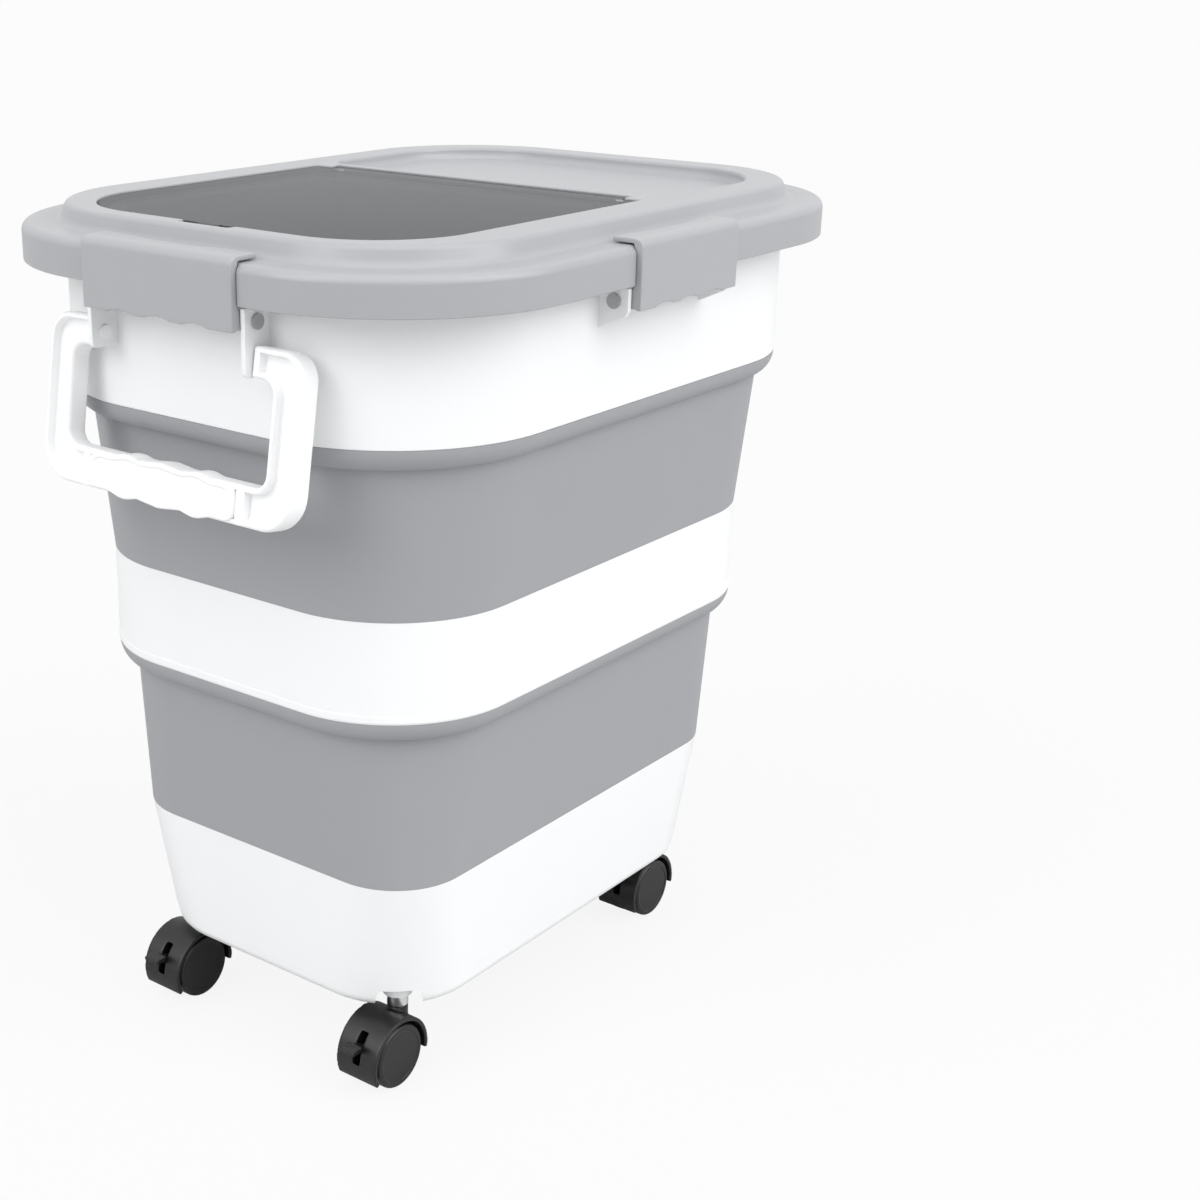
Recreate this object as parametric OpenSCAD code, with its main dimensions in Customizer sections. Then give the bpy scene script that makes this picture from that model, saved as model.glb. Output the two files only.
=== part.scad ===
// Collapsible food bin on casters: a white tub of three rings joined by two soft grey bands, a
// clipped-on lid with a clear flip door, four draw latches, two bail handles and four braked casters.
// The long side runs along X, the front end faces -X, and the floor is at Z = 0.

/* [Lid] */
// Length of the lid over its skirt
lid_l = 460; // [440:1:500]
// Width of the lid over its skirt
lid_w = 352; // [340:1:380]
// Corner radius of the lid skirt, seen from above
lid_r = 109; // [100:1:115]
// Height of the top of the lid above the floor
total_h = 505.5; // [500:0.5:540]
// Height of the skirt, from its lower edge to the ledge
skirt_h = 21.4; // [19:0.2:24]
// Rise from the ledge to the raised deck
deck_rise = 10.5; // [9.5:0.1:12]
// Distance from the skirt to the upper edge of the raised deck
deck_in = 25; // [23:0.5:27]
// Wall thickness of the lid
lid_t = 3; // [2.6:0.1:3.4]
// Rounding of the upper edge of the skirt
skirt_round = 5; // [4:0.5:6]

/* [Flip door and tray] */
// Distance from the front end of the lid to the front edge of the door
door_front_in = 39; // [38:1:46]
// Position of the hinge axis along X
hinge_x = 34; // [20:1:40]
// Width of the door
door_w = 246; // [220:1:252]
// Radius of the front corners of the door
door_r = 58; // [45:1:65]
// Radius of the rear corners of the door
door_back_r = 6; // [4:1:10]
// Thickness of the clear panel
door_t = 3; // [2.4:0.1:3.4]
// Width of the seat that the door closes on
seat_w = 15; // [13:1:18]
// Thickness of the soft seal under the door
door_seal_t = 0.8; // [0.6:0.1:1.2]
// Width of the soft seal under the door
door_seal_w = 4; // [3:0.5:6]
// Gap round the door
door_gap = 1; // [0.8:0.1:1.4]
// Radius of the hinge barrel of the door
door_barrel_r = 2.4; // [2.2:0.1:2.6]
// Radius of the two hinge pins
door_pin_r = 1.2; // [1:0.1:1.4]
// Width of the finger slot in front of the door
slot_w = 38; // [30:1:46]
// Depth of the finger slot along X
slot_l = 6.5; // [5:0.5:7]
// Width of the snap tongue on the door
catch_w = 16; // [10:1:22]
// Length of the tray recess behind the door
tray_l = 138; // [120:1:142]
// Width of the tray recess
tray_w = 254; // [220:1:260]
// Radius of the rear corners of the tray
tray_r = 60; // [45:1:65]
// Depth of the tray recess
tray_depth = 7; // [5:0.5:8]

/* [Tub] */
// Wall thickness of the rings and of the base
wall = 3; // [2.6:0.1:3.4]
// Distance from the skirt to the outside of the upper ring
ring_in = 20.5; // [20:0.5:22]
// Distance from the skirt to the outside of the middle ring
mid_in = 39.5; // [38:0.5:41]
// Distance from the skirt to the upper edge of the base
base_in = 60; // [58:0.5:62]
// Corner radius of the upper ring
ring_r = 98; // [95:1:102]
// Corner radius of the base at its upper edge
base_r = 46; // [43:1:52]
// Corner radius of the base near its lower edge
base_low_r = 56; // [50:1:60]
// Extra inset at the lower edge of the base, from its slope
base_draft = 6; // [4:0.5:7]
// Height of the lower edge of the base above the floor
base_z = 49.5; // [49:0.5:52]
// Height of the base wall
base_h = 85; // [80:1:90]
// Height of the lower soft band
lower_band_h = 108.8; // [100:0.2:114]
// Height of the middle ring
mid_h = 58.9; // [55:0.1:62]
// Height of the upper soft band
upper_band_h = 99.5; // [94:0.5:104]
// Thickness of the soft bands
band_t = 2; // [1.6:0.1:2.4]
// How far each soft shoulder curves in under the ring above
shoulder_in = 10.5; // [9:0.5:12]
// Height of each soft shoulder
shoulder_h = 12.5; // [10:0.5:14]
// Height of the upper ring's rim under the lid
rim_gap = 3; // [2.5:0.1:3.5]

/* [Latches] */
// Width of the latches on the two ends
latch_end_w = 110; // [100:1:114]
// Width of the latches on the two sides
latch_side_w = 98; // [92:1:106]
// Offset of the side latches towards the front end
latch_side_off = 5; // [0:1:8]
// Thickness of the latch plate
latch_t = 3; // [2.6:0.1:3.2]
// Distance from the ledge of the lid down to the lower edge of the latch
latch_drop = 34.5; // [33:0.5:36]
// Reach of the lip over the ledge of the lid
lip_in = 16; // [13:0.5:17]
// Gap between the lip and the ledge
lip_gap = 0.7; // [0.6:0.1:1]
// Depth of the recess in the skirt behind each latch
recess_in = 2.5; // [2:0.1:3]
// Distance from the skirt to the pivot of the latches and handles
pivot_in = 11; // [10.5:0.1:11.4]
// Distance from the lower edge of the skirt down to the latch pivot
latch_below = 8.3; // [8:0.1:9]
// Radius of the latch pins
latch_pin_r = 2.5; // [2.2:0.1:2.8]
// Radius of the heads of the latch pins
latch_head_r = 4.2; // [4:0.1:4.4]
// Thickness of the ears
ear_t = 3; // [2.6:0.1:3.4]

/* [Handles] */
// Width over the arms of a handle
handle_w = 188; // [180:1:196]
// Width of the arms
arm_w = 20; // [17:0.5:22]
// Thickness of the handle frame
handle_t = 13; // [11:0.5:13]
// Distance from the handle pivot to the lower edge
handle_drop = 84.8; // [80:0.2:90]
// Height of the lower bar
bar_h = 21.5; // [19:0.5:23]
// Angle at which the handle hangs away from the tub
handle_tilt = 9; // [7:0.5:11]
// Distance from the latch pivot down to the handle pivot
handle_below = 20.5; // [20:0.5:22]
// Half height of the turned-in stubs
stub_r = 8.2; // [7.6:0.1:8.4]
// Length of the grip
grip_w = 110; // [100:1:120]
// Height of the grip
grip_h = 24.5; // [23:0.5:28]
// Depth of the grip, front to back
grip_d = 17.5; // [15:0.5:19]
// Radius of the handle pins
handle_pin_r = 2.3; // [2:0.1:2.5]
// Radius of the domed heads of the handle pins
handle_head_r = 3.8; // [3.4:0.1:3.8]

/* [Casters] */
// Distance from the ends of the lid to the swivel axes
caster_end_in = 93; // [90:1:97]
// Distance from the sides of the lid to the swivel axes
caster_side_in = 94; // [91:1:98]
// Radius of the wheels
wheel_r = 20; // [19:0.5:20]
// Width of one wheel
wheel_w = 10; // [9:0.5:11]
// Distance from the swivel axis to the wheel axis
trail = 14; // [12:0.5:15]
// Width of the web between the two wheels
web_w = 8; // [7.6:0.2:9]
// Gap between the wheels and the hood
hood_gap = 2; // [1.5:0.1:2.5]
// Thickness of the hood
hood_t = 2.6; // [2:0.1:3]
// Radius of the neck under the stem
neck_r = 6.3; // [5.8:0.1:7]
// Radius of the steel stem
stem_r = 4; // [3.5:0.1:4.5]
// Radius of the steel collar
collar_r = 6.4; // [6:0.1:7]
// Radius of the wheel axle
axle_r = 2.5; // [2:0.1:3]
// Width of the brake pedal
pedal_w = 11; // [9:0.5:13]

/* [Hidden] */
$fn = 64;

white = [0.95, 0.95, 0.95];
lid_grey = [0.68, 0.68, 0.70];
band_grey = [0.58, 0.58, 0.60];
black = [0.13, 0.13, 0.13];
steel = [0.80, 0.80, 0.82];
smoke = [0.45, 0.48, 0.52, 0.6];

eps = 0.01;
run_gap = 0.05;     // radial running clearance of every pin and stem
side_gap = 0.4;     // clearance between a moving piece and the wall beside it
hx = lid_l / 2;
hy = lid_w / 2;

// Levels above the floor
ledge_z = total_h - deck_rise;
skirt_z = ledge_z - skirt_h;
rim_z = ledge_z - lid_t - rim_gap;
base_top = base_z + base_h;
mid_bot = base_top + lower_band_h;
mid_top = mid_bot + mid_h;
ring_bot = mid_top + upper_band_h;
latch_z = skirt_z - latch_below;
handle_z = latch_z - handle_below;

// Corner centres: the lid has its own, the upper ring, middle ring and upper band share one pair
lid_c = [hx - lid_r, hy - lid_r];
ring_c = [hx - ring_in - ring_r, hy - ring_in - ring_r];
base_c = [hx - base_in - base_draft - base_low_r, hy - base_in - base_draft - base_low_r];

// ---------- shared shapes ----------

// Carries a flat profile (radius, height) round a rounded rectangle with corner centres c
module sweep_round(c) {
    for (s = [[1, 1, 0], [-1, 1, 90], [-1, -1, 180], [1, -1, 270]])
        translate([s[0] * c[0], s[1] * c[1], 0])
            rotate([0, 0, s[2]])
                rotate_extrude(angle = 90, $fn = 96)
                    children();
    for (s = [0, 180]) {
        rotate([0, 0, s])
            translate([c[0], c[1], 0])
                rotate([90, 0, 0])
                    linear_extrude(2 * c[1])
                        children();
        rotate([0, 0, s + 90])
            translate([c[1], c[0], 0])
                rotate([90, 0, 0])
                    linear_extrude(2 * c[0])
                        children();
    }
}

// Rounded rectangle from x0 to x1 and of half width b; ra rounds its corners at -X and rb those at +X
module plate_2d(x0, x1, b, ra, rb) {
    union() {
        translate([x0 + ra, -b])
            square([x1 - x0 - ra - rb, 2 * b]);
        translate([x0, -b + ra])
            square([ra + eps, 2 * (b - ra)]);
        translate([x1 - rb - eps, -b + rb])
            square([rb + eps, 2 * (b - rb)]);
        for (s = [-1, 1]) {
            translate([x0 + ra, s * (b - ra)])
                circle(ra, $fn = 96);
            translate([x1 - rb, s * (b - rb)])
                circle(rb, $fn = 96);
        }
    }
}

// Places a piece on one side of the lid: local +Y points outwards from the skirt's face
module on_side(side) {
    if (side == "front")
        translate([-hx, 0, 0]) rotate([0, 0, 90]) children();
    if (side == "back")
        translate([hx, 0, 0]) rotate([0, 0, -90]) children();
    if (side == "right")
        translate([-latch_side_off, -hy, 0]) rotate([0, 0, 180]) children();
    if (side == "left")
        translate([-latch_side_off, hy, 0]) children();
}

// Extrudes a profile drawn in (outwards, up) along the local X axis, centred
module across(w) {
    rotate([90, 0, 90])
        translate([0, 0, -w / 2])
            linear_extrude(w)
                children();
}

function is_end(side) = side == "front" || side == "back";
function latch_w(side) = is_end(side) ? latch_end_w : latch_side_w;
function ear_x(side) = latch_w(side) / 2 + side_gap;

// ---------- tub ----------

caster_x = hx - caster_end_in;
caster_y = hy - caster_side_in;
caster_spots = [for (x = [-1, 1], y = [-1, 1]) [x * caster_x, y * caster_y]];
floor_z = base_z + 14;
boss_r = 9;
boss_z = base_z + 3.5;
boss_top = floor_z + 24;
notch_w = 27;
notch_h = 12.5;
notch_reach = 70;
base_low = base_in + base_draft;
foot_r = 8.5;       // rounding of the turned-under edge
foot_w = 9.5;       // from the wall to the inner side of that edge
heel = [1.5, 3.5];  // fill in the corner between floor and wall

// One loop round the tub: a rounded rectangle of the given inset from the lid, corner radius and height
loop_steps = 10;
loop_n = 4 * (loop_steps + 1);
function loop_pts(inset, r, z) = [for (q = [0:3], i = [0:loop_steps]) let (a = 90 * (q + i / loop_steps))
    [(q == 0 || q == 3 ? 1 : -1) * (hx - inset - r) + r * cos(a),
        (q < 2 ? 1 : -1) * (hy - inset - r) + r * sin(a), z]];

// Faces between loop j and the next one of m loops
function loop_faces(j, m) = [for (i = [0:loop_n - 1]) let (
        a = j * loop_n + i, b = j * loop_n + (i + 1) % loop_n,
        c = ((j + 1) % m) * loop_n + (i + 1) % loop_n, d = ((j + 1) % m) * loop_n + i
    ) each [[a, b, c], [a, c, d]]];

// Levels of the base: floor, inner wall, upper edge, outer wall, turned-under edge, underside
function base_level(d, z) = [base_low + d, base_low_r - d, z];
base_levels = concat(
    [
        base_level(wall + heel[0], floor_z + wall), base_level(wall, floor_z + wall + heel[1]),
        [base_in + wall, base_r - wall, base_top], [base_in, base_r, base_top]
    ],
    [for (a = [0:18:90]) base_level(foot_r * (1 - cos(a)), base_z + foot_r * (1 - sin(a)))],
    [base_level(foot_w, base_z), base_level(foot_w, floor_z)]
);

module base_shell() {
    m = len(base_levels);
    polyhedron(
        points = [for (l = base_levels) each loop_pts(l[0], l[1], l[2])],
        faces = concat(
            [for (j = [0:m - 2]) each loop_faces(j, m)],
            [[for (i = [loop_n - 1:-1:0]) i], [for (i = [0:loop_n - 1]) (m - 1) * loop_n + i]]
        )
    );
}

module base_tub() {
    color(white)
    difference() {
        union() {
            base_shell();
            for (p = caster_spots)
                translate([p[0], p[1], boss_z])
                    cylinder(r = boss_r, h = boss_top - boss_z);
        }
        for (p = caster_spots) {
            translate([p[0], p[1], boss_z - 1])
                cylinder(r = stem_r, h = boss_top - boss_z - wall + 1);
            translate([p[0], p[1], base_z - 1])
                rotate([0, 0, atan2(sign(p[1]) * base_c[1] - p[1], sign(p[0]) * base_c[0] - p[0]) + 180])
                    translate([boss_r + 1, -notch_w / 2, 0])
                        cube([notch_reach, notch_w, notch_h + 1]);
        }
    }
}

// Ring wall in (radius, height) at the inset d of the upper rings' corner centre
function at_ring(d) = ring_r + ring_in - d;

// Quarter curve of a soft shoulder under a ring of inset d0 and lower edge z0, on one face of the band
function shoulder(d0, z0, t) = [for (a = [0:15:90])
    [d0 + t + shoulder_in * (1 - cos(a)), z0 - (shoulder_h - t) * sin(a)]];

// Section between an outer and an inner line of (inset, height) points, both running downwards
module skin(outer, inner) {
    n = len(inner);
    polygon([for (p = concat(outer, [for (i = [n - 1:-1:0]) inner[i]])) [at_ring(p[0]), p[1]]]);
}

module upper_bellows() {
    color(band_grey)
    sweep_round(ring_c)
        skin(
            concat(shoulder(ring_in, ring_bot, 0), [[mid_in, mid_top]]),
            concat(shoulder(ring_in, ring_bot, band_t), [[mid_in + band_t, mid_top]])
        );
}

// Levels of the lower band on one face, t below its outer face: from the middle ring's wide corners
// down the shoulder to the tighter corners of the base
function lower_levels(t) = concat(
    [for (p = shoulder(mid_in, mid_bot, t)) [p[0], at_ring(p[0]), p[1]]],
    [[base_in + t, base_r - t, base_top]]
);

module lower_bellows() {
    outer = lower_levels(0);
    inner = lower_levels(band_t);
    levels = concat(outer, [for (i = [len(inner) - 1:-1:0]) inner[i]]);
    m = len(levels);
    color(band_grey)
    polyhedron(
        points = [for (l = levels) each loop_pts(l[0], l[1], l[2])],
        faces = [for (j = [0:m - 1]) each loop_faces(j, m)]
    );
}

module mid_ring() {
    bead = 0.4;
    bead_h = 4.5;
    color(white)
    sweep_round(ring_c)
        polygon([for (p = [
            [mid_in, mid_top], [mid_in, mid_bot + bead_h + bead], [mid_in - bead, mid_bot + bead_h],
            [mid_in - bead, mid_bot + 1], [mid_in, mid_bot], [mid_in + wall, mid_bot], [mid_in + wall, mid_top]
        ]) [at_ring(p[0]), p[1]]]);
}

rim_in = 6.2;
rim_t = 3;
ear_front_in = 2;
ear_root = ring_in + wall - 0.5; // the ears are rooted this far in, inside the wall
ear_top = skirt_z - 0.8;
ear_under = 8;      // from a pin down to the lower edge of its ear
ear_corner = 2;     // chamfer at the outer lower corner
ear_side_h = 5;     // from the latch pin down to that chamfer on the sides
ear_slope = 9;      // drop of the sloped lower edge towards the wall
pin_bore = latch_pin_r + run_gap;
ear_bot_end = handle_z - ear_under;
ear_bot_side = latch_z - ear_under;

// One pair of ears with their pin bores, in the side's own frame
module ear_pair(side) {
    low = is_end(side) ? ear_bot_end : ear_bot_side;
    for (s = [-1, 1])
        translate([s * (ear_x(side) + ear_t / 2), 0, 0])
            difference() {
                across(ear_t)
                    polygon([
                        [-ear_root, ear_top], [-ear_front_in, ear_top],
                        [-ear_front_in, is_end(side) ? low + ear_corner : latch_z - ear_side_h],
                        [-ear_front_in - ear_corner, low], [-ear_root, is_end(side) ? low : low - ear_slope]
                    ]);
                translate([0, -pivot_in, latch_z])
                    rotate([0, 90, 0])
                        cylinder(r = pin_bore, h = 2 * ear_t, center = true);
                if (is_end(side))
                    translate([0, -pivot_in, handle_z])
                        rotate([0, 90, 0])
                            cylinder(r = handle_pin_r + run_gap, h = 2 * ear_t, center = true);
            }
}

module upper_ring() {
    color(white)
    union() {
        sweep_round(ring_c)
            polygon([for (p = [
                [ring_in, ring_bot], [ring_in, rim_z - rim_t], [rim_in, rim_z - rim_t],
                [rim_in, rim_z], [ring_in + wall, rim_z], [ring_in + wall, ring_bot]
            ]) [at_ring(p[0]), p[1]]]);
        for (side = ["front", "back", "right", "left"])
            on_side(side) ear_pair(side);
    }
}

// ---------- lid ----------

door_x0 = -hx + door_front_in;
seat_depth = 4.6;     // from the deck down to the door's seat
seat_z = total_h - seat_depth;
hinge_z = seat_z + 1.5;
beam_w = 11;          // from the hinge axis to the tray
tray_x0 = hinge_x + beam_w;
tray_z = total_h - tray_depth;
tray_near_r = 14;
beam_z = tray_z - lid_t;
deck_round = 3;
riser_foot = 3.5;     // the riser meets the ledge this far outside the deck's edge
riser_head = 0.6;     // and starts to round over this far outside it
skirt_t = 2.5;
lug_w = 11;           // width of the hinge lugs at the door's rear corners
lug_l = 5;            // length of the lugs in front of the hinge axis
lug_y = door_w / 2 - lug_w;
hinge_clear = 0.6;
swing_room = 4.2;     // room behind the axis for the raised door
hinge_pin_l = 16;

// Section of the skirt, ledge and riser in (radius, height)
module lid_profile() {
    r0 = lid_r;
    in_r = skirt_round - skirt_t;
    outer = concat(
        [[0, skirt_z]],
        [for (i = [0:6]) let (a = i * 15) [skirt_round * (1 - cos(a)), ledge_z - skirt_round * (1 - sin(a))]],
        [[deck_in - riser_foot, ledge_z]],
        [for (i = [0:4]) let (a = i * 22.5) [deck_in - riser_head + deck_round * (1 - cos(a)),
            total_h - deck_round * (1 - sin(a))]]
    );
    inner = concat(
        [[deck_in + 6, total_h], [deck_in + 6, total_h - lid_t], [deck_in + 3, total_h - lid_t],
            [deck_in, ledge_z - lid_t]],
        [for (i = [6:-1:0]) let (a = i * 15) [skirt_t + in_r * (1 - cos(a)),
            ledge_z - lid_t - in_r * (1 - sin(a))]],
        [[skirt_t, skirt_z]]
    );
    polygon([for (p = concat(outer, inner)) [r0 - p[0], p[1]]]);
}

module door_outline(grow) {
    plate_2d(door_x0 - grow, hinge_x + grow, door_w / 2 + grow, door_r + grow, door_back_r + grow);
}

module tray_outline(grow) {
    plate_2d(tray_x0 - grow, tray_x0 + tray_l + grow, tray_w / 2 + grow, tray_near_r + grow, tray_r + grow);
}

// Thicker wall behind each latch, and the recess cut into it
module latch_backing(side) {
    translate([-latch_w(side) / 2 - 4, -recess_in - lid_t, skirt_z])
        cube([latch_w(side) + 8, lid_t + 0.5, ledge_z - lid_t - skirt_z + 1]);
}

module latch_recess(side) {
    translate([-latch_w(side) / 2 - 0.6, -recess_in, skirt_z - 1])
        cube([latch_w(side) + 1.2, 20, skirt_h + 20]);
}

module lid_frame() {
    color(lid_grey)
    difference() {
        union() {
            sweep_round(lid_c) lid_profile();
            translate([0, 0, total_h - lid_t])
                linear_extrude(lid_t)
                    plate_2d(-hx + deck_in + 5, hx - deck_in - 5, hy - deck_in - 5,
                        lid_r - deck_in - 5, lid_r - deck_in - 5);
            translate([0, 0, seat_z - lid_t])
                linear_extrude(total_h - seat_z + lid_t)
                    intersection() {
                        door_outline(door_gap + lid_t);
                        plate_2d(-hx + deck_in + 4, hx - deck_in - 4, hy - deck_in - 4,
                            lid_r - deck_in - 4, lid_r - deck_in - 4);
                    }
            translate([hinge_x - 6, -door_w / 2 - 2, beam_z])
                cube([tray_x0 - hinge_x + 8, door_w + 4, total_h - beam_z]);
            translate([0, 0, beam_z])
                linear_extrude(total_h - beam_z)
                    tray_outline(lid_t);
            for (side = ["front", "back", "right", "left"])
                on_side(side) latch_backing(side);
        }
        translate([0, 0, seat_z])
            linear_extrude(20)
                difference() {
                    door_outline(door_gap);
                    for (s = [-1, 1])
                        translate([hinge_x - lug_l, s > 0 ? lug_y : -lug_y - 20])
                            square([20, 20]);
                }
        translate([0, 0, beam_z - 5])
            linear_extrude(30)
                plate_2d(door_x0 + seat_w, hinge_x - seat_w, door_w / 2 - seat_w,
                    door_r - seat_w, door_back_r + 2);
        translate([0, 0, tray_z])
            linear_extrude(20)
                tray_outline(0);
        translate([hinge_x, 0, hinge_z])
            rotate([90, 0, 0])
                cylinder(r = door_barrel_r + hinge_clear, h = 2 * lug_y, center = true);
        translate([hinge_x - lug_l, -lug_y, hinge_z])
            cube([lug_l + swing_room, 2 * lug_y, 20]);
        for (s = [-1, 1])
            translate([hinge_x, s * lug_y, hinge_z])
                rotate([90, 0, 0])
                    cylinder(r = door_pin_r, h = hinge_pin_l, center = true);
        translate([door_x0 - slot_l, -slot_w / 2, seat_z])
            cube([slot_l + 2, slot_w, 20]);
        for (side = ["front", "back", "right", "left"])
            on_side(side) latch_recess(side);
    }
}

module lid_seal() {
    seal_in = 8;
    seal_w = 6;
    color(band_grey)
    sweep_round(lid_c)
        translate([lid_r - seal_in - seal_w, rim_z])
            square([seal_w, rim_gap]);
}

door_z = seat_z + door_seal_t;

module flip_door() {
    color(smoke)
    difference() {
        union() {
            translate([0, 0, door_z])
                linear_extrude(door_t)
                    difference() {
                        door_outline(0);
                        translate([hinge_x - 1, -door_w])
                            square([30, 2 * door_w]);
                        for (s = [-1, 1])
                            translate([hinge_x - lug_l - 1, s > 0 ? lug_y - side_gap : -lug_y + side_gap - 20])
                                square([20, 20]);
                    }
            translate([hinge_x, 0, hinge_z])
                rotate([90, 0, 0])
                    cylinder(r = door_barrel_r, h = 2 * (lug_y - side_gap), center = true);
        }
        for (s = [-1, 1])
            translate([hinge_x, s * lug_y, hinge_z])
                rotate([90, 0, 0])
                    cylinder(r = door_pin_r + run_gap, h = 2 * hinge_pin_l, center = true);
    }
}

module door_seal() {
    out = 6;
    color(band_grey)
    translate([0, 0, seat_z])
        linear_extrude(door_seal_t)
            difference() {
                plate_2d(door_x0 + out, hinge_x - out, door_w / 2 - out, door_r - out, door_back_r);
                plate_2d(door_x0 + out + door_seal_w, hinge_x - out - door_seal_w,
                    door_w / 2 - out - door_seal_w, door_r - out - door_seal_w, door_back_r - 2);
            }
}

module door_hinge_pins() {
    color(steel)
    for (s = [-1, 1])
        translate([hinge_x, s * lug_y, hinge_z])
            rotate([90, 0, 0])
                cylinder(r = door_pin_r, h = hinge_pin_l, center = true);
}

// Snap tongue on the front edge of the door, in the finger slot
module door_catch() {
    color(smoke)
    translate([door_x0 - slot_l + 2, -catch_w / 2, seat_z + 0.4])
        difference() {
            cube([slot_l - 2, catch_w, door_t + door_seal_t]);
            translate([-1, -1, -1])
                cube([2.2, catch_w + 2, 2.4]);
        }
}

// ---------- latches ----------

latch_out = 0.5 + latch_t;
lip_z = ledge_z + lip_gap;
latch_bot = ledge_z - latch_drop;
latch_top = lip_z + latch_t;
bend_r = 5;
barrel_r = 4.3;
cheek_t = 3;

// Section of the latch plate with its bend and lip, in (outwards, up)
module latch_section() {
    translate([latch_out - latch_t, latch_bot])
        square([latch_t, latch_top - bend_r - latch_bot]);
    translate([-lip_in, lip_z])
        square([lip_in + latch_out - bend_r, latch_t - 0.6]);
    translate([-lip_in + 1.2, lip_z])
        square([lip_in + latch_out - bend_r - 1.2, latch_t]);
    translate([latch_out - bend_r, latch_top - bend_r])
        intersection() {
            difference() {
                circle(bend_r);
                circle(bend_r - latch_t);
            }
            square(bend_r);
        }
}

module latch_cheek_section() {
    polygon([
        [latch_out - 1, latch_bot + 1], [-pivot_in + 4.5, latch_bot + 0.4], [-pivot_in + 3, latch_z],
        [-4, latch_z + 5.5], [-recess_in + 0.5, latch_z + 7.8], [-recess_in + 0.5, lip_z + 1],
        [latch_out - bend_r + 1.5, lip_z + 1.5], [latch_out - 1, latch_top - bend_r]
    ]);
}

module latch(side) {
    w = latch_w(side);
    waves = 4;
    step = w / waves;
    wave_r = 28.6;
    wave_depth = 1.6;
    scoop_r = 150;
    scoop_in = 5;
    scoop_depth = 1.2;
    corner_cut = 7;
    color(lid_grey)
    on_side(side)
    difference() {
        union() {
            across(w) latch_section();
            for (s = [-1, 1])
                translate([s * (w / 2 - cheek_t / 2), 0, 0])
                    across(cheek_t) latch_cheek_section();
            across(w) {
                translate([-pivot_in, latch_z]) circle(barrel_r);
                translate([-pivot_in, latch_z - 2.5]) square([pivot_in + 1, 5]);
            }
        }
        translate([0, -pivot_in, latch_z])
            rotate([0, 90, 0])
                cylinder(r = pin_bore, h = w + 2, center = true);
        // finger waves along the lower edge
        for (i = [1:waves - 1])
            translate([-w / 2 + i * step, 0, latch_bot - wave_r + wave_depth])
                rotate([-90, 0, 0])
                    translate([0, 0, -latch_t])
                        cylinder(r = wave_r, h = 20);
        // thumb hollow in the inner edge of the lip
        translate([0, -lip_in - scoop_r + scoop_in, latch_top - scoop_depth])
            cylinder(r = scoop_r, h = 5, $fn = 180);
        for (s = [-1, 1])
            translate([s * (w / 2 + corner_cut), 0, latch_bot - corner_cut])
                rotate([0, 45, 0])
                    cube([20, 40, 20], center = true);
    }
}

module latch_pin(side) {
    len_in = ear_x(side) + ear_t;
    head_t = 1.2;
    color(lid_grey)
    on_side(side)
    translate([0, -pivot_in, latch_z])
        rotate([0, 90, 0]) {
            cylinder(r = latch_pin_r, h = 2 * len_in, center = true);
            for (s = [-1, 1])
                translate([0, 0, s * (len_in + head_t / 2)])
                    cylinder(r = latch_head_r, h = head_t, center = true);
        }
}

// ---------- handles ----------

handle_front_y = 4.7;
bail_top_r = 15;    // outer corners beside the ears
bail_low_r = 21;    // outer corners at the bottom
bail_in_r = 8;      // inner corners
stub_x = ear_x("front") + ear_t + side_gap;
handle_pin_in = 4;  // the pin goes this far into the frame's end wall
end_wall = 4.6;
pin_end = stub_x + handle_pin_in;
rim_w = 3.2;
turn_r = ring_in - pivot_in - 0.5; // the frame's back is rounded to this radius, to turn clear of the tub

// Outline of the bail in (across, up) about its pivot, drawn in by e
module bail_outline(e) {
    hw = handle_w / 2 - e;
    iw = handle_w / 2 - arm_w + e;
    top = stub_r - e;
    bot = -handle_drop + e;
    in_top = -stub_r + e;
    in_bot = -handle_drop + bar_h - e;
    top_r = bail_top_r - e;
    low_r = bail_low_r - e;
    in_r = bail_in_r + e;
    difference() {
        union() {
            translate([-hw, bot + low_r]) square([2 * hw, top - top_r - bot - low_r]);
            translate([-hw + low_r, bot]) square([2 * (hw - low_r), 2 * low_r]);
            translate([-hw + top_r, top - 2 * top_r]) square([2 * (hw - top_r), 2 * top_r]);
            for (s = [-1, 1]) {
                translate([s * (hw - low_r), bot + low_r]) circle(low_r);
                translate([s * (hw - top_r), top - top_r]) circle(top_r);
            }
        }
        translate([-iw, in_bot + in_r]) square([2 * iw, in_top - in_bot - 2 * in_r]);
        translate([-iw + in_r, in_bot]) square([2 * (iw - in_r), in_top - in_bot]);
        for (s = [-1, 1], z = [in_bot + in_r, in_top - in_r])
            translate([s * (iw - in_r), z]) circle(in_r);
        end_x = stub_x + (e > 0 ? end_wall : 0);
        translate([-end_x, in_top - 20]) square([2 * end_x, 60]);
    }
}

// Places a piece of the handle: local origin on the pivot, hanging at its tilt
module hang(side) {
    on_side(side)
        translate([0, -pivot_in, handle_z])
            rotate([handle_tilt, 0, 0])
                children();
}

// Extrudes an (across, up) outline from y0 outwards to y1
module slab(y0, y1) {
    translate([0, y1, 0])
        rotate([90, 0, 0])
            linear_extrude(y1 - y0)
                children();
}

bar_mid = -handle_drop + bar_h / 2;
grip_front_y = handle_front_y + 1.3;

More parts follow.
